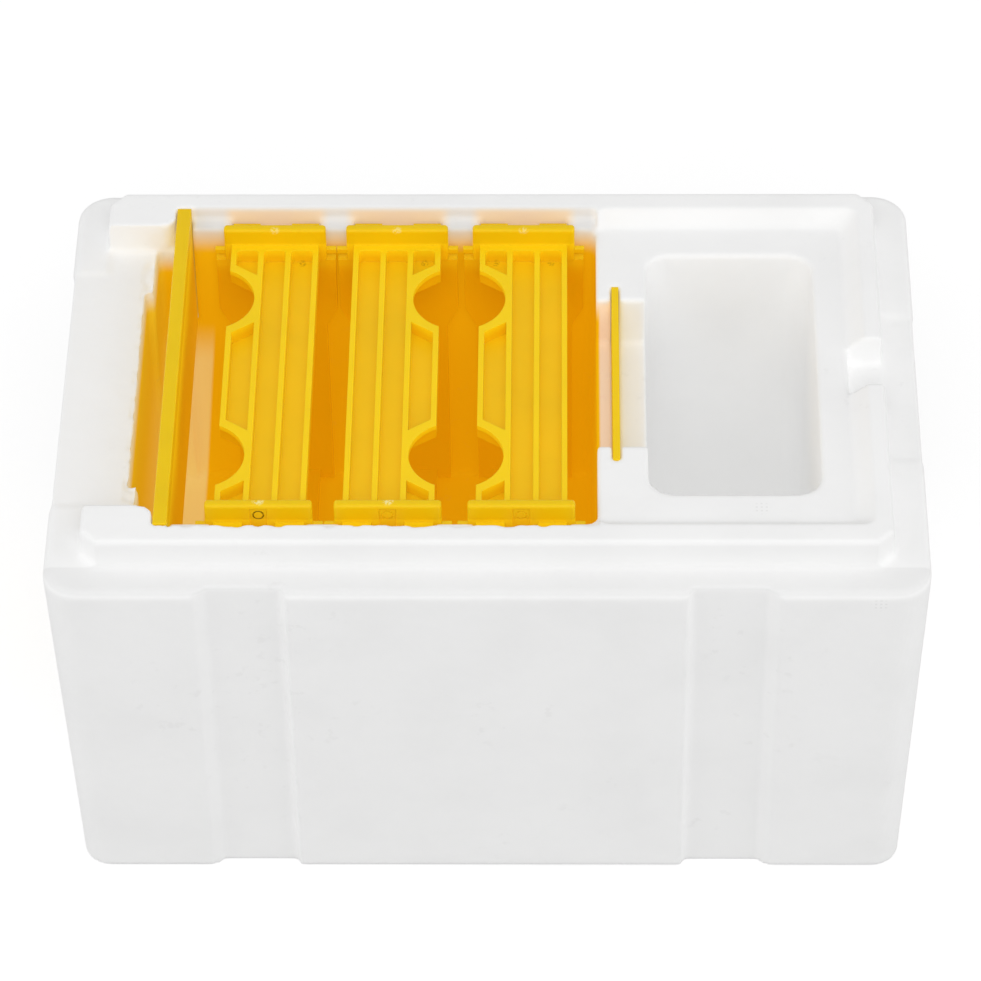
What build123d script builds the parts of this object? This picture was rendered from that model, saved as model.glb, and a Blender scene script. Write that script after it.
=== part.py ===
from build123d import *
import os

# Queen-mating hive box: a white foam body with a brood space and a feeder pocket, three yellow plastic
# frames, an entrance baffle, a feeder gate and an entrance shutter.
# Millimetres. X runs along the box towards the feeder, Y towards the back, Z up.
# The origin is the centre of the base.

# Frames: top bar
rib_count = 4                   # ribs along a top bar
rib_pitch = 7.95
rib_width = 1.6
bar_half_length = 55.2          # middle of the bar to the inner face of an end block
bar_thickness = 6.0
cell_depth = 4.5                # hollows between the ribs
cell_corner = 1.2
end_rib_width = 2.3             # cross rib beside an end block
block_length = 29.8             # end block, across the bar
block_thickness = 3.0
block_rise = 5.75               # end block above the ribs
block_edge_round = 1.0
spacer_width = 35.45            # across both spacer tabs
spacer_thickness = 1.6
spacer_height = 1.6
spacer_drop = 2.35              # tab tops below the rib tops
lug_inner = 4.6                 # lug sides, from the middle of the bar
lug_outer = 12.6
lug_reach = 6.2                 # lug beyond the end block
lug_height = 2.1
lug_tip_rise = 1.1              # turned-up end of a lug, above the rest of it
lug_tip_length = 2.0
lug_lift = 3.35                 # lug undersides above the bar's underside
lug_edge_round = 0.6
notch_radius = 13.0             # round bee ways in one edge of the bar
notch_depth = 7.6
notch_centre = 32.3             # from the middle of the bar, along Y
notch_bank_inner = 10.0         # flat edge each way from a notch's middle, at the rib
notch_bank_outer = 14.3         # the same, at the edge of the bar
notch_web = 1.6                 # thickness of the flat edge, which is hollow below
notch_bank_wall = 2.0           # between that hollow and the hollows above, along the bar
comb_guide_width = 2.4          # strip under the bar that the bees start the comb on
comb_guide_depth = 5.0
comb_guide_length = 100.0

# Frames: end bars, bottom bar and lock pins
end_bar_height = 90.25
end_bar_width = 28.4
end_bar_thickness = 2.4
end_bar_inset = 0.2             # outer face behind the end block's outer face
shoulder_inset = 0.2            # wide upper part of the end bar, behind the spacer tabs' ends
shoulder_height = 19.5
shoulder_taper = 7.0            # height over which the shoulders narrow to the end bar's width
tongue_width = 4.6              # tongue of the end bar, in a groove of the end block
tongue_height = 10.4
tongue_thickness = 1.3
tongue_gap = 0.1
bottom_bar_width = 20.0
bottom_bar_thickness = 2.4
bottom_bar_lift = 1.0           # above the feet of the end bars
tenon_width = 8.0
tenon_gap = 0.1
pin_diameter = 2.7
pin_length = 1.8
pin_gap = 0.2
pin_height = 8.05               # pin axis above the bar's underside

# How the frames sit in the body
frame_foot_gap = 2.5            # frame above the floor
frame_wall_gap = 2.3            # end block to the brood wall
lug_gap = 0.6                   # lug end to the rim
lug_side_gap = 0.5              # lug sides to their pocket
frame_gaps = (0.3, 1.5)         # between the spacer tabs of neighbours
last_frame_gap = 3.5            # last spacer tab to the partition

# Foam body, along X: the feeder takes the length that the rest leaves
body_length = 245.0
left_wall = 24.5
bay_depth = 5.8                 # entrance bay, left of the baffle
shelf_length = 9.7              # from the baffle's groove to the first end block
partition = 14.0                # wall between brood space and feeder
feeder_margin = 8.8             # flat around the feeder, on the right
rim_slope = 5.0                 # foot of the rim's sloping inner face to its top
end_rim = 5.0
lid_ledge = 10.5                # ledge outside the rim, all round

# Foam body, along Y
side_rim = 7.0
bay_width = 115.2
bay_recess_width = 80.0
bay_recess_depth = 2.5
feeder_width = 98.0
feeder_corner = 7.0

# Foam body, heights
floor_thickness = 26.0
seat_above_ledge = 1.6          # floor of the lug pockets above the lid ledge
deck_above_seat = 4.1           # flat deck inside the rim
rim_height = 10.0

# Foam body, outer form
side_lean = 6.0                 # front and back walls lean in by this much from ledge to base
end_lean = 3.8                  # and the end walls by this much
cavity_lean = 0.9               # each inner wall, from mouth to floor
corner_radius = 10.0
base_corner_radius = 8.0
base_edge_round = 1.0
ledge_edge_round = 2.2
rim_corner_cut = 4.5
rim_edge_round = 1.2
bay_corner_round = 4.0
brood_corner = 3.0

# Shallow channels down the front and back walls
channel_centre = 66.75          # from the middle of the wall
channel_width = 20.5            # at the channel's floor
channel_depth = 2.8
channel_inner_ramp = 1.2
channel_outer_ramp = 4.0

# Shallow panels in the end walls, with a lowered ledge above them
left_panel_depth = 0.7
right_panel_depth = 0.4
left_panel_width = 96.6
right_panel_width = 60.0
ledge_drop = 0.5
rim_key_width = 18.5            # gap in the end rim that keys the lid

# Entrance baffle
baffle_thickness = 4.0
baffle_height = 41.5
baffle_gap = 0.2
baffle_edge_round = 0.5

# Feeder gate and the passage it stands in
passage_width = 59.6
passage_depth = 17.0
gate_thickness = 2.0
gate_tongue = 5.7               # gate in its groove, at each end
gate_sink = 3.0                 # gate below the passage floor
gate_offset = 5.3               # gate's middle from the brood side of the partition
gate_gap = 0.15
gate_end_gap = 0.3
gate_slots = 7
gate_slot_width = 4.2
gate_slot_pitch = 7.6
gate_slot_margin = 3.2          # solid edge above and below the slots

# Entrance, its guide and its shutter
entrance_width = 22.0
entrance_height = 9.0
entrance_corner = 2.0
entrance_sill = 10.0            # entrance above the brood floor
guide_wall = 10.0               # foam from the bay to the guide's pocket, through the recess
guide_base = 1.6
guide_rail = 3.0
guide_lip = 1.2
guide_lip_reach = 2.5
guide_stop = 4.0                # end stops, along Y
guide_gap = 0.25                # shutter to guide
pocket_gap = 0.3                # guide to foam
shutter_length = 25.0
shutter_height = 19.4
shutter_thickness = 1.8
shutter_stop_gap = 0.3
shutter_margin = 1.7            # closed shutter past the entrance
shutter_clear = 0.7             # open shutter beside the entrance
finger_width = 3.0
finger_height = 12.0
finger_depth = 2.2
push_pin_diameter = 2.4
push_pin_length = 14.0
push_pin_head = 3.4
push_pin_head_height = 0.8
push_pin_gap = 0.1


def block(x_low, x_high, y_low, y_high, z_low, z_high):
    """Rectangular solid between two corners."""
    middle = ((x_low + x_high) / 2, (y_low + y_high) / 2, (z_low + z_high) / 2)
    return Pos(*middle) * Box(x_high - x_low, y_high - y_low, z_high - z_low)


def rectangle_at(x_low, x_high, half_width, z, radius):
    """Rounded rectangle at height z, centred on Y = 0."""
    place = Pos((x_low + x_high) / 2, 0, z)
    return place * RectangleRounded(x_high - x_low, 2 * half_width, radius)


def tapered(x_low, x_high, half_width, z_low, z_high, x_lean, y_lean, low_radius, high_radius):
    """Rounded block whose sides lean in along X and Y from z_high down to z_low."""
    low = rectangle_at(x_low + x_lean, x_high - x_lean, half_width - y_lean, z_low, low_radius)
    high = rectangle_at(x_low, x_high, half_width, z_high, high_radius)
    return loft([low.face(), high.face()], ruled=True)


# Frame heights, from the floor up
floor_top = floor_thickness
frame_foot = floor_top + frame_foot_gap
bar_bottom = frame_foot + end_bar_height
bar_top = bar_bottom + bar_thickness
block_top = bar_top + block_rise
seat_height = bar_bottom + lug_lift
spacer_top = bar_top - spacer_drop
pin_axis = bar_bottom + pin_height

# Body heights
ledge_height = seat_height - seat_above_ledge
low_ledge_height = ledge_height - ledge_drop
deck_height = seat_height + deck_above_seat
rim_top = ledge_height + rim_height
passage_floor = deck_height - passage_depth
gate_foot = passage_floor - gate_sink
baffle_foot = rim_top - baffle_height

# Frame outline
bar_half_width = ((rib_count - 1) * rib_pitch + rib_width) / 2
block_outer = bar_half_length + block_thickness
lug_end = block_outer + lug_reach
end_bar_outer = block_outer - end_bar_inset
end_bar_inner = end_bar_outer - end_bar_thickness

# Body half widths
brood_half = block_outer + frame_wall_gap
rim_inner = lug_end + lug_gap
rim_outer = rim_inner + side_rim
body_half = rim_outer + lid_ledge

# Body places along X, counted from its left end and then centred
groove_width = baffle_thickness + 2 * baffle_gap
run = left_wall
bay_from_left = run
run += bay_depth
groove_from_left = run
run += groove_width
shelf_from_left = run
run += shelf_length
frames_from_left = run
centre_from_left = [frames_from_left + block_length / 2]
for gap in frame_gaps:
    centre_from_left.append(centre_from_left[-1] + spacer_width + gap)
run = centre_from_left[-1] + spacer_width / 2 + last_frame_gap
partition_from_left = run
run += partition
feeder_from_left = run
rim_end_from_left = body_length - lid_ledge
rim_from_left = rim_end_from_left - end_rim
slope_from_left = rim_from_left - rim_slope
feeder_length = slope_from_left - feeder_margin - feeder_from_left

left_end = -body_length / 2
right_end = body_length / 2
bay_x = left_end + bay_from_left
groove_x = left_end + groove_from_left
shelf_x = left_end + shelf_from_left
frame_centres = [left_end + value for value in centre_from_left]
partition_x = left_end + partition_from_left
feeder_x = left_end + feeder_from_left
feeder_end = feeder_x + feeder_length
slope_x = left_end + slope_from_left
rim_x = left_end + rim_from_left
rim_end = left_end + rim_end_from_left
rim_start = left_end + lid_ledge
gate_x = partition_x + gate_offset

# Entrance places
guide_x = bay_x - bay_recess_depth - guide_wall
guide_depth_total = guide_base + 2 * guide_gap + shutter_thickness + guide_lip
shutter_closed = -entrance_width / 2 - shutter_margin
guide_start = shutter_closed - shutter_stop_gap - guide_stop
shutter_open = entrance_width / 2 + shutter_clear
guide_finish = shutter_open + shutter_length + shutter_stop_gap + guide_stop
entrance_low = floor_top + entrance_sill
entrance_middle = entrance_low + entrance_height / 2
shutter_low = entrance_middle - shutter_height / 2
shutter_high = entrance_middle + shutter_height / 2
guide_low = shutter_low - guide_gap - guide_rail
guide_high = shutter_high + guide_gap + guide_rail
pin_hole_radius = push_pin_diameter / 2 + push_pin_gap
push_pin_places = [guide_start + guide_stop / 2, guide_finish - guide_stop / 2]

# Cutters
overcut = 1.0                   # cutters run this far past a face
beyond = 10.0                   # and this far past the outer walls
above = rim_top + beyond


def wall_channel(side, end):
    """Cutter for one channel: side is the wall, +1 at the back, and end is +1 towards the feeder."""
    inner = channel_centre - channel_width / 2
    outer = channel_centre + channel_width / 2
    outline = [
        (inner - channel_inner_ramp, 0),
        (inner, -channel_depth),
        (outer, -channel_depth),
        (outer + channel_outer_ramp, 0),
        (outer + channel_outer_ramp, beyond),
        (inner - channel_inner_ramp, beyond),
    ]
    sections = []
    for z, face in ((0, body_half - side_lean), (ledge_height, body_half)):
        points = [(end * x, side * (face + y), z) for x, y in outline]
        sections.append(Face(Wire.make_polygon([Vector(*point) for point in points])))
    return loft(sections, ruled=True)


def end_panel(end, half_width, depth):
    """Cutter for the shallow panel in an end wall and the lowered ledge above it."""
    sections = []
    for z, face in ((0, right_end - end_lean), (ledge_height, right_end)):
        low = face - depth
        high = face + beyond
        corners = [(low, -half_width), (high, -half_width), (high, half_width), (low, half_width)]
        points = [Vector(end * x, y, z) for x, y in corners]
        sections.append(Face(Wire.make_polygon(points)))
    panel = loft(sections, ruled=True)
    outer = right_end + beyond
    low_ledge = block(rim_end, outer, -half_width, half_width, low_ledge_height, ledge_height)
    if end < 0:
        low_ledge = mirror(low_ledge, about=Plane.YZ)
    return panel + low_ledge


def hive_body():
    """Foam moulding: brood space, feeder pocket, passage, lug seats, rim and lid ledge."""
    outer_size = (left_end, right_end, body_half, 0, ledge_height)
    outer = tapered(*outer_size, end_lean, side_lean, base_corner_radius, corner_radius)
    outer = fillet(outer.edges().group_by(Axis.Z)[0], base_edge_round)
    outer = fillet(outer.edges().group_by(Axis.Z)[-1], ledge_edge_round)
    rim = block(rim_start, rim_end, -rim_outer, rim_outer, floor_top, rim_top)
    rim = chamfer(rim.edges().filter_by(Axis.Z), rim_corner_cut)
    rim = fillet(rim.edges().group_by(Axis.Z)[-1], rim_edge_round)
    body = outer + rim

    # Rim: open at the left end, keyed at the right end
    bay_half = bay_width / 2
    cuts = [block(rim_start, groove_x, -bay_half, bay_half, low_ledge_height, above)]
    key_half = rim_key_width / 2
    cuts.append(block(slope_x, rim_end + overcut, -key_half, key_half, ledge_height, above))
    for side in (-1, 1):
        y_low, y_high = sorted((side * bay_half, side * (bay_half + bay_corner_round)))
        corner = block(groove_x - bay_corner_round, groove_x, y_low, y_high, ledge_height, above)
        post = Cylinder(bay_corner_round, 4 * above)
        middle = (groove_x - bay_corner_round, side * (bay_half + bay_corner_round), 0)
        cuts.append(corner - Pos(*middle) * post)

    # Brood space with the deck and the lug pockets, the baffle grooves and the entrance bay
    brood_size = (groove_x, partition_x, brood_half, floor_top, above)
    cuts.append(tapered(*brood_size, cavity_lean, cavity_lean, brood_corner, brood_corner))
    cuts.append(block(groove_x, partition_x, -rim_inner, rim_inner, deck_height, above))
    pocket_half = lug_outer + lug_side_gap
    for centre in frame_centres:
        pocket_low = centre - pocket_half
        pocket_high = centre + pocket_half
        cuts.append(block(pocket_low, pocket_high, -rim_inner, rim_inner, seat_height, above))
    baffle_reach = rim_inner + baffle_gap
    cuts.append(block(groove_x, shelf_x, -baffle_reach, baffle_reach, baffle_foot, above))
    cuts.append(block(bay_x, groove_x + brood_corner, -bay_half, bay_half, floor_top, above))
    recess_half = bay_recess_width / 2
    cuts.append(block(bay_x - bay_recess_depth, bay_x, -recess_half, recess_half, floor_top, above))

    # Flat around the feeder, with sloping sides up to the rim
    low = rectangle_at(partition_x, slope_x, brood_half, deck_height, brood_corner)
    high = rectangle_at(partition_x, rim_x, rim_inner, rim_top, brood_corner)
    cuts.append(loft([low.face(), high.face()], ruled=True))
    square_end = partition_x + brood_corner
    cuts.append(block(partition_x - overcut, square_end, -brood_half, brood_half, deck_height, above))
    feeder_size = (feeder_x, feeder_end, feeder_width / 2, floor_top, above)
    cuts.append(tapered(*feeder_size, cavity_lean, cavity_lean, feeder_corner, feeder_corner))

    # Passage and the grooves for the gate
    passage_half = passage_width / 2
    passage_end = feeder_x + feeder_corner
    passage_low = partition_x - overcut
    cuts.append(block(passage_low, passage_end, -passage_half, passage_half, passage_floor, above))
    gate_half = gate_thickness / 2 + gate_gap
    gate_reach = passage_half + gate_tongue + gate_end_gap
    cuts.append(block(gate_x - gate_half, gate_x + gate_half, -gate_reach, gate_reach, gate_foot, above))

    # Outer walls
    for side in (-1, 1):
        cuts += [wall_channel(side, -1), wall_channel(side, 1)]
    cuts.append(end_panel(-1, left_panel_width / 2, left_panel_depth))
    cuts.append(end_panel(1, right_panel_width / 2, right_panel_depth))

    # Entrance, the pocket of its guide and the holes of the push pins
    cuts.append(block(
        left_end - beyond, guide_x, guide_start - pocket_gap, guide_finish + pocket_gap,
        guide_low - pocket_gap, guide_high + pocket_gap,
    ))
    cuts.append(entrance_slot(guide_x - overcut, bay_x))
    for y in push_pin_places:
        cuts.append(along_x(pin_hole_radius, guide_x - overcut, guide_x + push_pin_length, y))
    return body - cuts


def entrance_slot(x_low, x_high):
    """Cutter for the bees' entrance."""
    face = Plane.YZ * RectangleRounded(entrance_width, entrance_height, entrance_corner)
    return Pos(x_low, 0, entrance_middle) * extrude(face, amount=x_high - x_low, dir=(1, 0, 0))


def along_x(radius, x_low, x_high, y):
    """Round bar along X at the height of the entrance."""
    bar = Rot(0, 90, 0) * Cylinder(radius, x_high - x_low)
    return Pos((x_low + x_high) / 2, y, entrance_middle) * bar


def top_bar():
    """Top bar of a frame, centred on X = 0, with its notches on the -X side."""
    bar = block(-bar_half_width, bar_half_width, -bar_half_length, bar_half_length, bar_bottom, bar_top)
    notch_x = -bar_half_width - notch_radius + notch_depth
    notch = Cylinder(notch_radius, 4 * above)
    for side in (-1, 1):
        bar -= Pos(notch_x, side * notch_centre, 0) * notch

    # Hollows between the ribs, cut short beside the notches
    cell_width = rib_pitch - rib_width
    cell_bottom = bar_top - cell_depth
    cell_half_length = bar_half_length - end_rib_width
    hollow = RectangleRounded(cell_width, 2 * cell_half_length, cell_corner)
    for column in (-1, 0, 1):
        cell = Pos(column * rib_pitch, 0, cell_bottom) * extrude(hollow, amount=2 * cell_depth)
        if column == -1:
            for side in (-1, 1):
                cell -= notch_bank(side, 0, 0, cell_bottom, bar_top + overcut)
        bar -= cell
    for side in (-1, 1):
        edge_reach = rib_width + overcut
        bar -= notch_bank(side, notch_bank_wall, edge_reach, bar_bottom - overcut, bar_top - notch_web)
    strip_half = comb_guide_width / 2
    strip_end = comb_guide_length / 2
    strip_low = bar_bottom - comb_guide_depth
    bar += block(-strip_half, strip_half, -strip_end, strip_end, strip_low, bar_bottom)
    return bar + [frame_end(-1), frame_end(1)]


def notch_bank(side, wall, edge_reach, z_low, z_high):
    """Trapezium beside a notch, long side at the bar's edge: shorter by wall, wider by edge_reach."""
    cell_width = rib_pitch - rib_width
    inner = -rib_pitch + cell_width / 2
    outer = -rib_pitch - cell_width / 2 - edge_reach
    inner_half = notch_bank_inner - wall
    slope = (notch_bank_outer - notch_bank_inner) / cell_width
    outer_half = inner_half + slope * (inner - outer)
    corners = [(inner, -inner_half), (inner, inner_half), (outer, outer_half), (outer, -outer_half)]
    points = [Vector(x, side * notch_centre + y, z_low) for x, y in corners]
    return extrude(Face(Wire.make_polygon(points)), amount=z_high - z_low, dir=(0, 0, 1))


def frame_end(side):
    """End block of a top bar with its lugs, spacer tabs, tongue groove and pin hole."""
    half = block_length / 2
    end = block(-half, half, bar_half_length, block_outer, bar_bottom, block_top)
    rounded = end.edges().filter_by(Axis.Z) + end.edges().group_by(Axis.Z)[-1]
    end = fillet(rounded, block_edge_round)
    tab_middle = (bar_half_length + block_outer) / 2
    tab_low = tab_middle - spacer_thickness / 2
    tab_high = tab_middle + spacer_thickness / 2
    tab_half = spacer_width / 2
    end += block(-tab_half, tab_half, tab_low, tab_high, spacer_top - spacer_height, spacer_top)
    for x_low in (-lug_outer, lug_inner):
        x_high = x_low + lug_outer - lug_inner
        lug_top = seat_height + lug_height
        lug = block(x_low, x_high, block_outer, lug_end, seat_height, lug_top)
        lug += block(x_low, x_high, lug_end - lug_tip_length, lug_end, seat_height, lug_top + lug_tip_rise)
        end += fillet(lug.edges().group_by(Axis.Y)[-1], lug_edge_round)
    groove_half = tongue_width / 2 + tongue_gap
    groove_floor = end_bar_outer - tongue_thickness - tongue_gap
    groove_top = bar_bottom + tongue_height + tongue_gap
    groove_low = bar_bottom - overcut
    groove_end = block_outer + overcut
    end -= block(-groove_half, groove_half, groove_floor, groove_end, groove_low, groove_top)
    end -= pin_bar(pin_diameter / 2 + pin_gap, end_bar_outer - pin_length - pin_gap, block_outer)
    if side < 0:
        end = mirror(end, about=Plane.XZ)
    return end


def pin_bar(radius, y_low, y_high):
    """Round bar along Y at the height of the lock pins."""
    bar = Rot(90, 0, 0) * Cylinder(radius, y_high - y_low)
    return Pos(0, (y_low + y_high) / 2, pin_axis) * bar


def end_bar(side):
    """End bar of a frame: wide shoulders, a tongue that locks in the top bar, a slot for the bottom bar."""
    half = end_bar_width / 2
    tongue_half = tongue_width / 2
    slot_half = tenon_width / 2 + tenon_gap
    slot_low = frame_foot + bottom_bar_lift - tenon_gap
    slot_high = frame_foot + bottom_bar_lift + bottom_bar_thickness + tenon_gap
    shoulder_half = spacer_width / 2 - shoulder_inset
    shoulder_low = bar_bottom - shoulder_height
    taper_low = shoulder_low - shoulder_taper
    outline = [
        (-half, frame_foot), (half, frame_foot),
        (half, taper_low), (shoulder_half, shoulder_low),
        (shoulder_half, bar_bottom), (-shoulder_half, bar_bottom),
        (-shoulder_half, shoulder_low), (-half, taper_low),
    ]
    points = [Vector(x, end_bar_inner, z) for x, z in outline]
    bar = extrude(Face(Wire.make_polygon(points)), amount=end_bar_thickness, dir=(0, 1, 0))
    tongue_inner = end_bar_outer - tongue_thickness
    tongue_top = bar_bottom + tongue_height
    bar += block(-tongue_half, tongue_half, tongue_inner, end_bar_outer, bar_bottom, tongue_top)
    past = end_bar_outer + overcut
    bar -= block(-slot_half, slot_half, end_bar_inner - overcut, past, slot_low, slot_high)
    bar -= pin_bar(pin_diameter / 2 + pin_gap, tongue_inner - overcut, past)
    if side < 0:
        bar = mirror(bar, about=Plane.XZ)
    return bar


def bottom_bar():
    """Bottom bar of a frame, with a tenon in each end bar."""
    half = bottom_bar_width / 2
    tenon_half = tenon_width / 2
    low = frame_foot + bottom_bar_lift
    high = low + bottom_bar_thickness
    bar = block(-half, half, -end_bar_inner, end_bar_inner, low, high)
    tenon_end = end_bar_outer - tenon_gap
    return bar + block(-tenon_half, tenon_half, -tenon_end, tenon_end, low, high)


def lock_pins():
    """The two pins of a frame."""
    pin = pin_bar(pin_diameter / 2, end_bar_outer - pin_length, end_bar_outer)
    return Compound([pin.solid(), mirror(pin, about=Plane.XZ).solid()])


def baffle():
    """Entrance baffle: a plain board that stands in two grooves."""
    low = groove_x + baffle_gap
    board = block(low, low + baffle_thickness, -rim_inner, rim_inner, baffle_foot, rim_top)
    return fillet(board.edges().group_by(Axis.Z)[-1], baffle_edge_round)


def feeder_gate():
    """Queen excluder in the passage: a thin plate with slots that let workers through."""
    half = gate_thickness / 2
    reach = passage_width / 2 + gate_tongue
    gate = block(gate_x - half, gate_x + half, -reach, reach, gate_foot, deck_height)
    slot_low = passage_floor + gate_slot_margin
    slot_high = deck_height - gate_slot_margin
    for index in range(gate_slots):
        middle = (index - (gate_slots - 1) / 2) * gate_slot_pitch
        y_low = middle - gate_slot_width / 2
        y_high = middle + gate_slot_width / 2
        gate -= block(gate_x - 2 * half, gate_x + 2 * half, y_low, y_high, slot_low, slot_high)
    return gate


def entrance_guide():
    """Guide plate of the entrance: a base with two lipped rails and two end stops."""
    face = guide_x - guide_depth_total
    guide = block(face, guide_x, guide_start, guide_finish, guide_low, guide_high)
    base_face = guide_x - guide_base
    run_low = guide_start + guide_stop
    run_high = guide_finish - guide_stop
    lip_face = face + guide_lip
    guide -= block(lip_face, base_face, run_low, run_high, guide_low + guide_rail, guide_high - guide_rail)
    window_low = guide_low + guide_rail + guide_lip_reach
    window_high = guide_high - guide_rail - guide_lip_reach
    before = face - overcut
    past = guide_x + overcut
    guide -= block(before, lip_face, run_low, run_high, window_low, window_high)
    guide -= entrance_slot(base_face - overcut, past)
    for y in push_pin_places:
        guide -= along_x(pin_hole_radius, before, past, y)
        guide -= along_x(push_pin_head / 2 + push_pin_gap, before, face + push_pin_head_height, y)
    return guide


def entrance_shutter():
    """Shutter plate with a finger rib, parked open beside the entrance."""
    back = guide_x - guide_base - guide_gap
    front = back - shutter_thickness
    finish = shutter_open + shutter_length
    plate = block(front, back, shutter_open, finish, shutter_low, shutter_high)
    middle = shutter_open + shutter_length / 2
    finger_half = finger_height / 2
    return plate + block(
        front - finger_depth, front, middle - finger_width / 2, middle + finger_width / 2,
        entrance_middle - finger_half, entrance_middle + finger_half,
    )


def push_pins():
    """Plastic pins that hold the guide in the foam."""
    face = guide_x - guide_depth_total
    pins = []
    for y in push_pin_places:
        shank = along_x(push_pin_diameter / 2, face, guide_x + push_pin_length - push_pin_gap, y)
        head = along_x(push_pin_head / 2, face, face + push_pin_head_height, y)
        pins.append((shank + head).solid())
    return Compound(pins)


def save(shape, name):
    """Write one node."""
    export_step(shape, f"parts/{name}.step")


os.makedirs("parts", exist_ok=True)
save(hive_body(), "hive_body")
save(baffle(), "entrance_baffle")
save(feeder_gate(), "feeder_gate")
save(entrance_guide(), "entrance_guide")
save(entrance_shutter(), "entrance_shutter")
save(push_pins(), "entrance_pins")
frame_pieces = {
    "top_bar": top_bar(),
    "front_end_bar": end_bar(-1),
    "rear_end_bar": end_bar(1),
    "bottom_bar": bottom_bar(),
    "pins": lock_pins(),
}
for index, centre in enumerate(frame_centres):
    turn = 180 if index % 2 else 0
    for piece, shape in frame_pieces.items():
        if turn and piece == "front_end_bar":
            shape = frame_pieces["rear_end_bar"]
        elif turn and piece == "rear_end_bar":
            shape = frame_pieces["front_end_bar"]
        save(Pos(centre, 0, 0) * Rot(0, 0, turn) * shape, f"frame_{index + 1}_{piece}")
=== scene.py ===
import math

import bmesh
import bpy
import numpy as np
from mathutils import Matrix, Vector, noise


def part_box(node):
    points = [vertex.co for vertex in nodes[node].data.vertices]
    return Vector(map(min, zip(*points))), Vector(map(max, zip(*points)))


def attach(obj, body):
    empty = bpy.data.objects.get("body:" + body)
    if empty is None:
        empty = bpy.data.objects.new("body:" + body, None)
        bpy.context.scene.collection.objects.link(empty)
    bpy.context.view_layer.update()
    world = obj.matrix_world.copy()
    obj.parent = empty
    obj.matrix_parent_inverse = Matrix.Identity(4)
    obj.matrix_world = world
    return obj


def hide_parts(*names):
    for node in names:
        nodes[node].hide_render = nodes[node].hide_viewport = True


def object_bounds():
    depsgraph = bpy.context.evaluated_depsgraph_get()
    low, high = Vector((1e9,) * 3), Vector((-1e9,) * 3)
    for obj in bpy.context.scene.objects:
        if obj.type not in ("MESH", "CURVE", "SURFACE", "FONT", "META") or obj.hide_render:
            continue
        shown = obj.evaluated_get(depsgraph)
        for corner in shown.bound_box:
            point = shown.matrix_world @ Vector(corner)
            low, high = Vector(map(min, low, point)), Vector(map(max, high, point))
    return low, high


# Queen-mating hive box: white bead foam body with yellow plastic frames, baffle, gate and entrance parts.
# Metres, in the frame of the solid model: X along the box towards the feeder, Y towards the back, Z up.

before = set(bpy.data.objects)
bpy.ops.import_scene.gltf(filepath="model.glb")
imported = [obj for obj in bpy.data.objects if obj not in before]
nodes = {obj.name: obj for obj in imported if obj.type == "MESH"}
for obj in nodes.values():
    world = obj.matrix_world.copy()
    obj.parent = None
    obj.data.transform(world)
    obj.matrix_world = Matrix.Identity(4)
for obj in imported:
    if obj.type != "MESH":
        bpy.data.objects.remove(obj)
cad_low, cad_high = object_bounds()
scene = bpy.context.scene


def middle(node, axis):
    """Middle of a node along one axis."""
    low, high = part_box(node)
    return (low[axis] + high[axis]) / 2


# Places of the plastic pieces
baffle_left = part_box("entrance_baffle")[0].x
baffle_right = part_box("entrance_baffle")[1].x
gate_middle = middle("feeder_gate", 0)
frame_centres = [middle(f"frame_{number}_top_bar", 0) for number in (1, 2, 3)]
block_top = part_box("frame_1_top_bar")[1].z
bar_underside = 0.11875
rib_top = 0.12475
cell_pitch = 0.0080             # from one hollow between the ribs of a top bar to the next
notch_sides = (-1, 1, -1)       # the side of each top bar that has the notches
notch_centre = 0.0323           # middle of a notch, from the middle of the bar
notch_slope = 0.677             # slant of its ends
tongue_half = 0.0023            # tongue of an end bar, half its width
tongue_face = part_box("frame_1_rear_end_bar")[1].y
tongue_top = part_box("frame_1_rear_end_bar")[1].z
pin_low, pin_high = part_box("frame_1_pins")
pin_radius = (pin_high.x - pin_low.x) / 2
pin_height = middle("frame_1_pins", 2)

# Places in the foam
rim_height = cad_high.z
rim_face = 0.0650               # inner face of the rim's long sides
deck_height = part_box("feeder_gate")[1].z        # the gate's top is level with the deck
ledge_height = 0.1205
brood_left = -0.1012
brood_right = 0.0312
brood_side = 0.0611
bay_right = baffle_left - 0.0005
bay_side = 0.0570

# Foam mesh: its grid, its smoothing and what is worn or torn off
foam_voxel = 0.0008
smoothing_factor = 0.5
smoothing_rounds = 2
same_point = 1e-6
bite_scale = 330.0
bite_gain = 2.5
skin_wear = 0.00005
edge_wear = 0.0010
torn_width = 0.0016             # torn strip on each side of the rim's inner edge
torn_above = deck_height + 0.0012
bay_torn_depth = 0.0022
bay_torn_left = brood_left - 0.0005
bay_torn_right = bay_right - 0.0030
bay_torn_share = 0.6

# Colours
white = (1.0, 1.0, 1.0)
foam_white = (0.80, 0.80, 0.797)
# Orange of the foam in the brood space is painted light: the light that the yellow frames let through and
# throw back
foam_in_orange_light = (0.82, 0.50, 0.003)
# Pale peach of the foam where painted light falls under the baffle and low in the bay
lit_foam_peach = (0.88, 0.78, 0.36)
# Peach of the foam here is painted bounce light from the yellow end blocks and the gate
foam_in_yellow_bounce = (0.90, 0.66, 0.36)
# Orange of the bay left of the baffle is painted light thrown onto the foam by the yellow baffle
bay_orange_light = (0.77, 0.64, 0.03)
dirt_grey = (0.30, 0.29, 0.28)
plastic_yellow = (0.875, 0.585, 0.002)
# Orange of the plastic is painted shade: the yellow plastic deeper orange where less light reaches it
plastic_in_shade = (0.80, 0.44, 0.001)
sprue_cream = (0.95, 0.85, 0.40)
brood_light = (0.94, 0.64, 0.003)
bar_light = (1.0, 0.83, 0.02)
foam_shades = [(0.30, 0.975), (0.50, 1.0), (0.72, 1.015)]       # place on the mottling, brightness
plastic_shades = [(0.30, 0.96), (0.55, 1.0), (0.75, 1.02)]
grey_shade = 0.80
ring_shade = 0.25
pit_shade = 0.35

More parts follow.
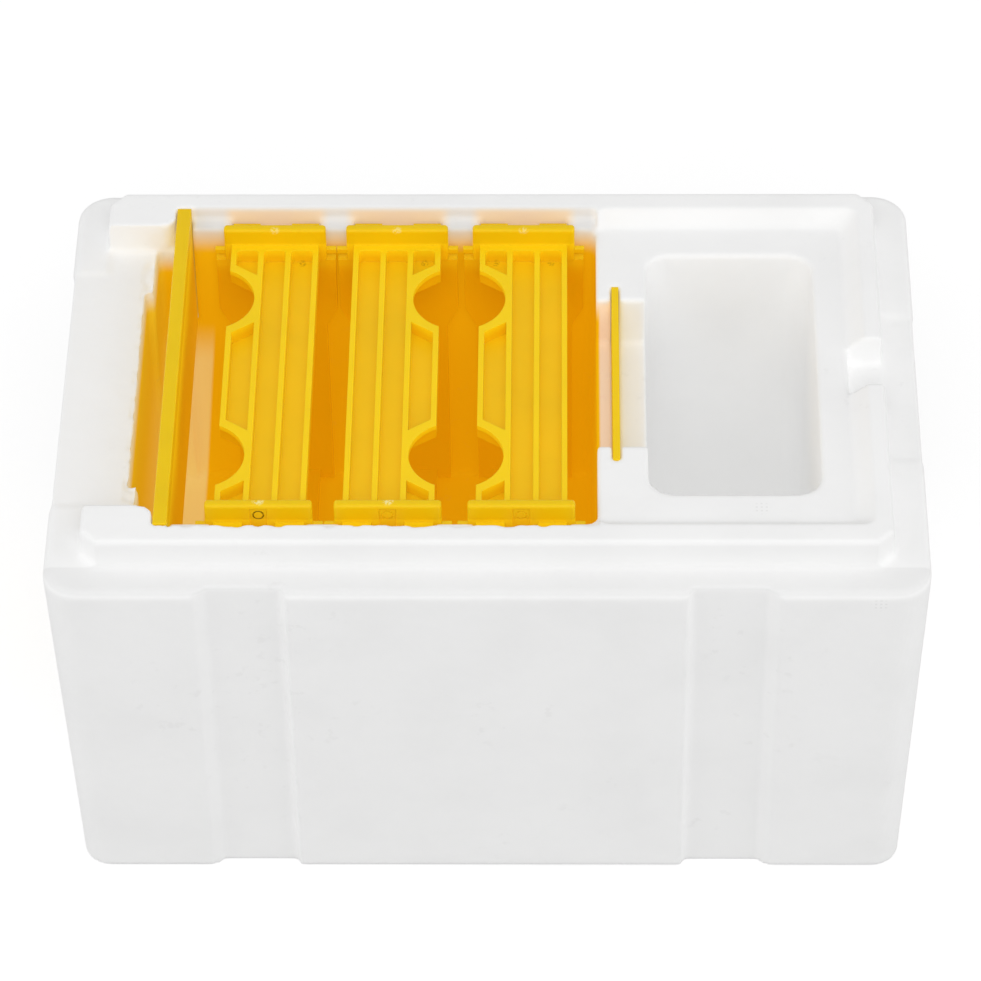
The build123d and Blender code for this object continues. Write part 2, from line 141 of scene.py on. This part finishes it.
# Glow, for light that wanders through foam and thin plastic and evens out their shading
foam_glow = 0.13
brood_glow = 0.215
passage_glow = 0.08
feeder_glow = 0.025
plastic_glow = 0.175
shoulder_loss = 0.06            # less glow of the plastic close under the top bars
bar_glow = 0.10
gate_glow = 0.06
seam_glow = 0.22

# Share of each tint or mark in the colour under it
bay_tan_share = 0.8
bay_peach_share = 0.05
low_bay_peach_share = 0.35
blush_share = 0.6
passage_share = 0.65
front_grey_share = 0.5
rear_grey_share = 0.65
vent_share = 0.14
scuff_share = 0.07
bar_edge_share = 0.4
baffle_yellow_share = 0.6
seat_share = 0.5
ring_share = 0.75
pit_share = 0.5
sprue_share = 0.8
rear_sprue_share = 0.55

# Soft edges of the tints on foam: where each one starts and where it is full
foam_fade = 0.0008              # outside the walls of the brood space
deck_fade = (deck_height + 0.0005, deck_height - 0.0095)
ledge_fade = (ledge_height - 0.0010, ledge_height - 0.0090)
past_bay = (bay_right - 0.0005, bay_right)
bay_fade = (-0.0955, -0.0985)
bay_low = (0.0950, 0.0450)
strip_lean = 0.085              # painted pool of light under the baffle: its X shifts by this much of Z
strip_fade = (-0.0898, -0.0910)
strip_low = (0.0900, 0.0720)
blush_along = (0.0161, 0.0121)  # from the middle of the frame
blush_inner = (0.0600, 0.0606)
blush_outer = (0.0660, 0.0656)
blush_top = (rim_height + 0.0002, rim_height - 0.0020)
passage_start = (0.0300, 0.0310)
passage_end = (gate_middle + 0.0010, gate_middle - 0.0020)
passage_side = (0.0312, 0.0304)
passage_top = (deck_height + 0.0002, deck_height - 0.0030)
feeder_start = (0.0440, 0.0455)
feeder_end = (0.0950, 0.0935)
feeder_side = (0.0505, 0.0495)
feeder_low = (0.0900, 0.0400)
# Painted shade on the front ledge and on the rear deck between the blocks
front_grey_low = (0.1190, 0.1199)
front_grey_high = (0.1240, 0.1212)
front_grey_inner = (-0.0715, -0.0725)
rear_grey_start = (baffle_right, baffle_right + 0.0020)
rear_grey_end = (brood_right, 0.0280)
rear_grey_inner = (0.0596, 0.0606)
rear_grey_outer = (0.0662, 0.0652)

# Soft edges of the tints on plastic
plastic_fade = 0.0040           # outside the walls of the brood space
under_bar = (bar_underside + 0.0010, bar_underside - 0.0060)
under_rib = (rib_top - 0.0008, rib_top - 0.0030)
below_blocks = (rib_top + 0.0008, rib_top + 0.0002)
shoulder_fade = (0.0920, 0.1120)
hollow_depth = (rib_top - 0.0013, rib_top - 0.0018)
hollow_inner = (0.0048, 0.0050)
hollow_outer = (0.0134, 0.0130)
hollow_end = (0.0060, 0.0055)
baffle_fade = (baffle_right + 0.0010, baffle_right + 0.0003)
gate_start = (gate_middle - 0.0030, gate_middle - 0.0020)
gate_end = (gate_middle + 0.0030, gate_middle + 0.0020)
upright_slope = (0.6, 0.2)
seat_side = (tongue_half + 0.00018, tongue_half + 0.00013)
seat_depth = (tongue_face - 0.0019, tongue_face - 0.0018)
seat_foot = (bar_underside - 0.0004, bar_underside + 0.0004)
seat_top = (tongue_top + 0.00020, tongue_top + 0.00015)
seat_low = (pin_height + 0.0008, pin_height - 0.0025)
seam_depth = (tongue_face - 0.00022, tongue_face - 0.00026)

# Moulding marks, and the painted shade ring round the front pin of frame 1
spot_core = 0.5                 # full part of a round mark's radius
front_vent = (0.1079, -0.0823, 0.1163)
deck_vent = (0.0760, -0.0546, deck_height)
vent_radius = 0.0030
vent_pitch = 0.0014
vent_dots = (-0.1, 0.5)         # part of each wave that prints a dot
rear_sprue = 0.0553
rear_sprue_radius = 0.0018
front_sprue = -0.0560
front_sprue_radius = 0.0021
front_sprue_frames = frame_centres[:2]
pit_columns = ((1,), (1,), (-1, 1))     # hollows with a pit, from the middle of each frame
pit_place = 0.0520
pit_height = 0.1203
pit_radius = 0.0014
ring_inner = (pin_radius - 0.0002, pin_radius - 0.0001)
ring_outer = (pin_radius + 0.0004, pin_radius + 0.0002)
off_ring = (pin_radius + 0.0004, pin_radius + 0.0005)

# Textures: scale, detail and, where it isn't a half, roughness.
# A part gives the value at which a pattern starts to show and the one at which it is full.
bead_scale = 260.0
foam_mottling = (38.0, 4.0)
foam_fine = (900.0, 2.0)
worn_patches = (22.0, 2.0)
worn_part = (0.52, 0.62)
scuff_grain = (210.0, 3.0, 0.6)
scuff_part = (0.60, 0.70)
plastic_clouds = (60.0, 3.0)
plastic_fine = (1400.0, 2.0)
crumbs = (1500.0, 2.0)
crumb_part = (0.40, 0.55)

# Bumps: strength and height
bead_bump = (0.10, 0.0006)
mottling_bump = (0.10, 0.0012)
foam_fine_bump = (0.06, 0.0002)
cloud_bump = (0.08, 0.0006)
plastic_fine_bump = (0.08, 0.0001)
edge_radius = 0.0003            # rounding that the plastic's edges seem to have
edge_samples = 6

# Studio
world_light = 0.57
floor_half = 4.0
floor_drop = 0.0002
floor_grey = (0.55, 0.55, 0.55)
floor_glow = 0.55
lamp_target = (0.0, 0.0, 0.08)
lamps = {
    "key": {"place": (0.05, -1.36, 1.55), "size": 1.4, "energy": 11.2},
    "left_fill": {"place": (-1.35, -0.45, 0.65), "size": 1.2, "energy": 5.5},
    "right_fill": {"place": (1.35, -0.45, 0.65), "size": 1.2, "energy": 5.5},
}
camera_place = (0.02058, -1.02116, 1.09956)
camera_tilt = math.radians(45.0)
camera_pan = math.radians(0.82)
camera_reach = (0.05, 20.0)
sensor_width = 36.0
picture_pixels = 981.0
focal_pixels = 4958.0


class Field:
    """Number, place or colour that varies over a surface. Arithmetic on fields adds nodes to their tree."""

    def __init__(self, socket):
        self.socket = socket
        self.tree = socket.id_data

    def calculate(self, operation, *values):
        """Result of a math node."""
        node = self.tree.nodes.new("ShaderNodeMath")
        node.operation = operation
        for socket, value in zip(node.inputs, values):
            put(socket, value)
        return Field(node.outputs[0])

    def __add__(self, other):
        return self.calculate("ADD", self, other)

    def __sub__(self, other):
        return self.calculate("SUBTRACT", self, other)

    def __rsub__(self, other):
        return self.calculate("SUBTRACT", other, self)

    def __mul__(self, other):
        return self.calculate("MULTIPLY", self, other)

    def __abs__(self):
        return self.calculate("ABSOLUTE", self)

    __radd__ = __add__

    def sine(self):
        return self.calculate("SINE", self)

    def at_least(self, other):
        """The larger of two."""
        return self.calculate("MAXIMUM", self, other)

    def rise(self, start, full):
        """0 before start, 1 past full and a soft step between. Full may be the lower of the two."""
        node = self.tree.nodes.new("ShaderNodeMapRange")
        node.interpolation_type = "SMOOTHSTEP"
        set_inputs(node, {
            "Value": self,
            "From Min": min(start, full),
            "From Max": max(start, full),
            "To Min": float(start > full),
            "To Max": float(start < full),
        })
        return Field(node.outputs["Result"])

    def within(self, first, last):
        """1 between two soft edges, each given as its start and where it is full."""
        return self.rise(*first) * self.rise(*last)

    def axes(self):
        """X, Y and Z of a place or direction."""
        node = self.tree.nodes.new("ShaderNodeSeparateXYZ")
        put(node.inputs[0], self)
        return [Field(output) for output in node.outputs]

    def distance(self, centre):
        """Distance of a place from a point."""
        node = self.tree.nodes.new("ShaderNodeVectorMath")
        node.operation = "DISTANCE"
        put(node.inputs[0], self)
        put(node.inputs[1], centre)
        return Field(node.outputs["Value"])


def put(socket, value):
    """Gives an input a field, a number, a place or a colour."""
    if isinstance(value, Field):
        socket.id_data.links.new(value.socket, socket)
    elif socket.type == "RGBA":
        socket.default_value = (*value, 1.0)
    else:
        socket.default_value = value


def set_inputs(node, values):
    """Fills a node's inputs by name."""
    for name, value in values.items():
        put(node.inputs[name], value)


def shade(colour, factor):
    """Darker or lighter colour."""
    return tuple(min(1.0, value * factor) for value in colour)


def blend(factor, first, second):
    """Colour that goes from the first to the second as the factor rises."""
    node = factor.tree.nodes.new("ShaderNodeMix")
    node.data_type = "RGBA"
    first_colour, second_colour, mixed_colour = 6, 7, 2
    put(node.inputs[0], factor)
    put(node.inputs[first_colour], first)
    put(node.inputs[second_colour], second)
    return Field(node.outputs[mixed_colour])


def mottled(factor, colour, shades):
    """Colour in several shades: each is a place on the factor and a brightness."""
    ramp = factor.tree.nodes.new("ShaderNodeValToRGB")
    stops = ramp.color_ramp.elements
    while len(stops) < len(shades):
        stops.new(0.5)
    for stop, (place, brightness) in zip(stops, shades):
        stop.position = place
        stop.color = (*shade(colour, brightness), 1.0)
    put(ramp.inputs["Fac"], factor)
    return Field(ramp.outputs["Color"])


def clouds(place, scale, detail, roughness=0.5):
    """Cloudy pattern from 0 to 1."""
    node = place.tree.nodes.new("ShaderNodeTexNoise")
    set_inputs(node, {"Vector": place, "Scale": scale, "Detail": detail, "Roughness": roughness})
    return Field(node.outputs["Fac"])


def beads(place, scale):
    """Pattern of packed beads: the distance from the middle of each."""
    node = place.tree.nodes.new("ShaderNodeTexVoronoi")
    set_inputs(node, {"Vector": place, "Scale": scale})
    return Field(node.outputs["Distance"])


def bump(height, strength, distance, under=None):
    """Normal of a bumpy surface, laid over another normal if there is one."""
    node = height.tree.nodes.new("ShaderNodeBump")
    set_inputs(node, {"Height": height, "Strength": strength, "Distance": distance})
    if under is not None:
        put(node.inputs["Normal"], under)
    return Field(node.outputs["Normal"])


def soft_edges(tree, radius, samples):
    """Normal that rounds off sharp edges."""
    node = tree.nodes.new("ShaderNodeBevel")
    node.samples = samples
    put(node.inputs["Radius"], radius)
    return Field(node.outputs["Normal"])


def object_place(tree):
    """Place on the object at rest, which its marks keep when it moves."""
    return Field(tree.nodes.new("ShaderNodeTexCoord").outputs["Object"])


def room_place(tree):
    """X, Y and Z in the room, where the tints stay."""
    return Field(tree.nodes.new("ShaderNodeNewGeometry").outputs["Position"]).axes()


def upright_faces(tree):
    """1 on upright faces, 0 on level ones."""
    normal = Field(tree.nodes.new("ShaderNodeNewGeometry").outputs["True Normal"])
    return abs(normal.axes()[2]).rise(*upright_slope)


def spot(place, centre, radius):
    """1 in a small ball, with a soft edge."""
    return place.distance(centre).rise(radius, spot_core * radius)


def new_material(name):
    """New material and its Principled shader."""
    material = bpy.data.materials.new(name)
    material.use_nodes = True
    return material, material.node_tree.nodes["Principled BSDF"]


def in_brood_space(x, y, fade):
    """1 between the walls of the brood space, 0 outside."""
    left = x.rise(brood_left - fade, brood_left)
    right = x.rise(brood_right + fade, brood_right)
    return left * right * abs(y).rise(brood_side + fade, brood_side)


def behind_blocks(x, y, z):
    """1 on the rim's inner side behind the end blocks of the frames, where yellow light thrown back by the
    blocks is painted.
    """
    near = sum(abs(x - centre).rise(*blush_along) for centre in frame_centres)
    return near * abs(y).within(blush_inner, blush_outer) * z.rise(*blush_top)


def in_passage(x, y, z):
    """1 in the passage on the brood side of the gate, fading past it: there painted yellow bounce light and
    glow go.
    """
    return x.within(passage_start, passage_end) * abs(y).rise(*passage_side) * z.rise(*passage_top)


def in_feeder(x, y, z):
    """1 low down in the feeder pocket."""
    return x.within(feeder_start, feeder_end) * abs(y).rise(*feeder_side) * z.rise(*feeder_low)


def painted_ledge_shade(x, y, z):
    """Painted shade that makes the foam a little greyer: on the front ledge, and on the deck between the
    rear blocks.
    """
    front = z.within(front_grey_low, front_grey_high) * y.rise(*front_grey_inner)
    rear = x.within(rear_grey_start, rear_grey_end) * y.within(rear_grey_inner, rear_grey_outer)
    return front * front_grey_share + rear * rear_grey_share


def vent(place, centre, flat):
    """Print of a mould vent: a round patch of small dots, in the plane that the flat axis is square to."""
    dots = spot(place, centre, vent_radius)
    for axis, value in enumerate(place.axes()):
        if axis != flat:
            wave = (value * (2 * math.pi / vent_pitch)).sine()
            dots = dots * wave.rise(*vent_dots)
    return dots


def foam_marks(place):
    """Two vent prints and, in patches, fine scuffs."""
    vents = vent(place, front_vent, 1) + vent(place, deck_vent, 2)
    worn = clouds(place, *worn_patches).rise(*worn_part)
    scuffs = worn * clouds(place, *scuff_grain).rise(*scuff_part)
    return vents * vent_share + scuffs * scuff_share


def foam_material():
    """White bead foam: faint beads, soft mottling, matt skin; painted orange light from the frames, painted
    pale light, bounce light and shade in places.
    """
    material, shader = new_material("foam")
    material.cycles.emission_sampling = "NONE"
    place = object_place(material.node_tree)
    x, y, z = room_place(material.node_tree)

    below_deck = z.rise(*deck_fade)
    below_ledge = z.rise(*ledge_fade)
    depth = below_ledge + x.rise(*past_bay) * (below_deck - below_ledge)
    # Painted orange light: the foam below the deck in the brood space takes the colour of the light from
    # the frames
    painted_orange_part = in_brood_space(x, y, foam_fade) * depth
    in_bay = x.rise(*bay_fade)
    # Painted light: a pale strip on the rear wall and floor under the baffle, where light falls past frame
    # 1, and paler light low in the bay
    strip = (x - z * strip_lean).rise(*strip_fade) * z.rise(*strip_low)
    bay_part = in_bay * (z.rise(*bay_low) * low_bay_peach_share + bay_peach_share)
    painted_light_part = strip * (1.0 - in_bay) + bay_part
    # The bay left of the baffle takes painted orange light from the baffle
    painted_light_colour = blend(in_bay * bay_tan_share, foam_in_orange_light, bay_orange_light)
    painted_light_colour = blend(painted_light_part, painted_light_colour, lit_foam_peach)

    mottling = clouds(place, *foam_mottling)
    passage = in_passage(x, y, z)
    # Painted bounce light: yellow light thrown back by the end blocks and the gate onto the foam
    bounce_part = (behind_blocks(x, y, z) * blush_share).at_least(passage * passage_share)
    pale = mottled(mottling, foam_white, foam_shades)
    # Painted shade on the front ledge and the rear deck
    pale = blend(painted_ledge_shade(x, y, z), pale, shade(foam_white, grey_shade))
    pale = blend(bounce_part, pale, foam_in_yellow_bounce)
    tint = blend(painted_orange_part, pale, painted_light_colour)
    tint = blend(foam_marks(place), tint, dirt_grey)

    glow_colour = blend(painted_orange_part, white, blend(painted_light_part, brood_light, lit_foam_peach))
    glow = painted_orange_part * (brood_glow - foam_glow)
    glow = glow + in_feeder(x, y, z) * feeder_glow + passage * passage_glow + foam_glow

    normal = bump(beads(place, bead_scale), *bead_bump)
    normal = bump(mottling, *mottling_bump, normal)
    normal = bump(clouds(place, *foam_fine), *foam_fine_bump, normal)
    set_inputs(shader, {
        "Base Color": tint,
        "Emission Color": glow_colour,
        "Emission Strength": glow,
        "Normal": normal,
        "Roughness": 0.8,
        "Specular IOR Level": 0.15,
    })
    return material


def under_notches(x, y):
    """1 in the hollows under the flat edges beside the notches, whose ends slant; painted shade goes there.
    """
    along = abs(abs(y) - notch_centre)
    hollows = 0.0
    for centre, side in zip(frame_centres, notch_sides):
        out = (x - centre) * side
        slant = along - out * notch_slope
        hollows = hollows + out.within(hollow_inner, hollow_outer) * slant.rise(*hollow_end)
    return hollows


def sprues_and_pits(place):
    """Pale torn-off sprues on the end blocks, and pits in the hollows of the top bars painted dark as their
    shade.
    """
    sprues = 0.0
    pits = 0.0
    for centre, columns in zip(frame_centres, pit_columns):
        sprue = spot(place, (centre, rear_sprue, block_top), rear_sprue_radius)
        sprues = sprues + sprue * rear_sprue_share
        for column in columns:
            pits = pits + spot(place, (centre + column * cell_pitch, pit_place, pit_height), pit_radius)
    for centre in front_sprue_frames:
        sprues = sprues + spot(place, (centre, front_sprue, block_top), front_sprue_radius)
    crumbly = clouds(place, *crumbs).rise(*crumb_part)
    return sprues * crumbly, pits * crumbly


def tongue_seats(place):
    """The tongues of the end bars in the end blocks: painted shade on their lower faces, and the seams
    round them that get painted light.
    """
    x, y, z = place.axes()
    depth = abs(y)
    near = sum(abs(x - centre).rise(*seat_side) for centre in frame_centres)
    near = near * depth.rise(*seat_depth) * z.within(seat_foot, seat_top)
    return near * z.rise(*seat_low), near * depth.rise(*seam_depth)


def plastic_material():
    """Yellow moulded plastic that lets some light through; painted shade turns it orange down in the brood
    space, on upright faces under the ribs and in hollows.
    """
    material, shader = new_material("yellow_plastic")
    material.cycles.emission_sampling = "NONE"
    tree = material.node_tree
    place = object_place(tree)
    x, y, z = room_place(tree)

    inside = in_brood_space(x, y, plastic_fade)
    # Painted shade: deeper orange under the top bars, on upright faces under the ribs and in the hollows by
    # the notches
    shaded_bar_sides = upright_faces(tree) * z.rise(*under_rib)
    hollows = under_notches(x, y) * z.rise(*hollow_depth)
    under = z.rise(*under_bar).at_least(shaded_bar_sides * bar_edge_share).at_least(hollows)
    painted_orange_part = inside * under * (1.0 - x.rise(*baffle_fade) * baffle_yellow_share)

    mottling = clouds(place, *plastic_clouds)
    sprues, pits = sprues_and_pits(place)
    seat, seam = tongue_seats(place)
    from_pin = place.distance((frame_centres[0], -tongue_face, pin_height))
    # Painted shade: a dark ring in the gap round the front pin of frame 1
    ring = from_pin.within(ring_inner, ring_outer)
    tint = mottled(mottling, plastic_yellow, plastic_shades)
    tint = blend(painted_orange_part, tint, plastic_in_shade)
    # Painted shade on the lower faces of the tongues, in their slots
    tint = blend(seat * seat_share, tint, plastic_in_shade)
    tint = blend(ring * ring_share, tint, shade(plastic_in_shade, ring_shade))
    # Painted shade of small pits in the hollows of the top bars
    tint = blend(pits * pit_share, tint, shade(plastic_in_shade, pit_shade))
    tint = blend(sprues * sprue_share, tint, sprue_cream)

    deep_glow = painted_orange_part * (plastic_glow - z.rise(*shoulder_fade) * shoulder_loss)
    top_glow = z.rise(*below_blocks) * bar_glow * inside * (1.0 - painted_orange_part)
    on_gate = x.within(gate_start, gate_end)
    # Painted light: glow on the seams round the tongues, away from the shaded ring, lightens their shade
    seam_off_ring = seam * from_pin.rise(*off_ring)
    glow = deep_glow + top_glow + on_gate * gate_glow + seam_off_ring * seam_glow

    normal = bump(mottling, *cloud_bump, soft_edges(tree, edge_radius, edge_samples))
    normal = bump(clouds(place, *plastic_fine), *plastic_fine_bump, normal)
    set_inputs(shader, {
        "Base Color": tint,
        "Emission Color": blend(painted_orange_part, bar_light, brood_light),
        "Emission Strength": glow,
        "Normal": normal,
        "Roughness": 0.46,
        "Specular IOR Level": 0.2,
        "Subsurface Weight": 0.3,
        "Subsurface Radius": (1.0, 0.8, 0.1),
        "Subsurface Scale": 0.001,
    })
    return material


def link(piece):
    """Puts a piece into the scene."""
    scene.collection.objects.link(piece)
    return piece


def mesh_copy(node, name):
    """Copy of a node's mesh with its doubled points joined."""
    made = bmesh.new()
    made.from_mesh(nodes[node].data)
    bmesh.ops.remove_doubles(made, verts=made.verts, dist=same_point)
    mesh = bpy.data.meshes.new(name)
    made.to_mesh(mesh)
    made.free()
    return mesh


def apply_modifiers(piece):
    """Puts the result of a piece's modifiers into its mesh."""
    bpy.context.view_layer.update()
    evaluated = piece.evaluated_get(bpy.context.evaluated_depsgraph_get())
    mesh = bpy.data.meshes.new_from_object(evaluated)
    piece.modifiers.clear()
    piece.data = mesh


def roughen(mesh):
    """Wears the foam back by a fraction of a millimetre, and tears edges of the front rim and the bay."""
    points = np.empty(3 * len(mesh.vertices), np.float32)
    normals = np.empty_like(points)
    mesh.vertices.foreach_get("co", points)
    mesh.vertex_normals.foreach_get("vector", normals)
    points = points.reshape(-1, 3)
    x, y, z = points.T
    rim_edge = np.clip(1.0 - np.abs(y + rim_face) / torn_width, 0.0, 1.0)
    rim_edge *= (z > torn_above) & (x > baffle_right) & (x < brood_right)
    bay_edge = (z > ledge_height - bay_torn_depth) & (z < ledge_height) & (np.abs(y) < bay_side)
    bay_edge &= (x > bay_torn_left) & (x < bay_torn_right)
    edge = np.maximum(rim_edge, bay_torn_share * bay_edge)
    coarse = np.array([0.5 + 0.5 * noise.noise(Vector(point) * bite_scale) for point in points])
    torn = np.clip(bite_gain * coarse - 1.0, 0.0, 1.0)
    depth = skin_wear * coarse + edge_wear * edge * torn
    points -= normals.reshape(-1, 3) * depth[:, None].astype(np.float32)
    mesh.vertices.foreach_set("co", points.ravel())
    mesh.update()


def foam_body(foam):
    """Foam moulding with the soft edges that bead foam has."""
    piece = link(bpy.data.objects.new("hive_body_foam", mesh_copy("hive_body", "hive_body_foam")))
    remesh = piece.modifiers.new("remesh", "REMESH")
    remesh.mode = "VOXEL"
    remesh.voxel_size = foam_voxel
    remesh.use_smooth_shade = True
    smooth = piece.modifiers.new("smooth", "SMOOTH")
    smooth.factor = smoothing_factor
    smooth.iterations = smoothing_rounds
    apply_modifiers(piece)
    roughen(piece.data)
    piece.data.materials.clear()
    piece.data.materials.append(foam)
    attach(piece, "hive_body")
    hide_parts("hive_body")


def plastic_pieces(plastic):
    """The finish of all the other pieces."""
    for name, node in nodes.items():
        if name != "hive_body":
            node.data.materials.clear()
            node.data.materials.append(plastic)


def seen_directly(tree):
    """1 where the camera, a reflection or glass looks, 0 for light."""
    path = tree.nodes.new("ShaderNodeLightPath").outputs
    seen = Field(path["Is Camera Ray"]).at_least(Field(path["Is Glossy Ray"]))
    return seen.at_least(Field(path["Is Transmission Ray"]))


def show(tree, light, seen, output):
    """Gives off one shader as light, and shows another where it is seen directly."""
    mix = tree.nodes.new("ShaderNodeMixShader")
    put(mix.inputs[0], seen_directly(tree))
    put(mix.inputs[1], Field(light.outputs[0]))
    put(mix.inputs[2], Field(seen.outputs[0]))
    put(output.inputs["Surface"], Field(mix.outputs[0]))


def white_world():
    """Soft light from all round, and a white background."""
    world = bpy.data.worlds.new("studio")
    scene.world = world
    world.use_nodes = True
    tree = world.node_tree
    light = tree.nodes["Background"]
    background = tree.nodes.new("ShaderNodeBackground")
    set_inputs(light, {"Color": white, "Strength": world_light})
    set_inputs(background, {"Color": white, "Strength": 1.0})
    show(tree, light, background, tree.nodes["World Output"])


def pale_floor():
    """Wide floor that looks nearly white and keeps the shadow of the box."""
    mesh = bpy.data.meshes.new("floor")
    corners = [(x * floor_half, y * floor_half, 0) for x, y in ((-1, -1), (1, -1), (1, 1), (-1, 1))]
    mesh.from_pydata(corners, [], [(0, 1, 2, 3)])
    floor = link(bpy.data.objects.new("floor", mesh))
    floor.location.z = -floor_drop
    material, shader = new_material("floor")
    tree = material.node_tree
    set_inputs(shader, {"Base Color": floor_grey, "Roughness": 0.9, "Specular IOR Level": 0.0})
    glow = tree.nodes.new("ShaderNodeEmission")
    put(glow.inputs["Strength"], floor_glow)
    brightened = tree.nodes.new("ShaderNodeAddShader")
    put(brightened.inputs[0], Field(shader.outputs[0]))
    put(brightened.inputs[1], Field(glow.outputs[0]))
    show(tree, shader, brightened, tree.nodes["Material Output"])
    mesh.materials.append(material)


def lamp(name, place, size, energy):
    """Round soft lamp that looks at the box."""
    light = bpy.data.lights.new(name, "AREA")
    light.shape = "DISK"
    light.size = size
    light.energy = energy
    piece = link(bpy.data.objects.new(name, light))
    piece.location = place
    piece.rotation_mode = "QUATERNION"
    piece.rotation_quaternion = (Vector(lamp_target) - Vector(place)).to_track_quat("-Z", "Y")


def photo_camera():
    """Camera that sees the box as the photograph does."""
    camera = bpy.data.cameras.new("camera")
    camera.sensor_width = sensor_width
    camera.lens = sensor_width * focal_pixels / picture_pixels
    camera.clip_start, camera.clip_end = camera_reach
    eye = link(bpy.data.objects.new("camera", camera))
    tilt = Matrix.Rotation(camera_tilt, 4, "X")
    pan = Matrix.Rotation(camera_pan, 4, "Y")
    eye.matrix_world = Matrix.Translation(camera_place) @ tilt @ pan
    scene.camera = eye


foam_body(foam_material())
plastic_pieces(plastic_material())
white_world()
pale_floor()
for name, settings in lamps.items():
    lamp(name, **settings)
photo_camera()
scene.view_settings.view_transform = "Standard"
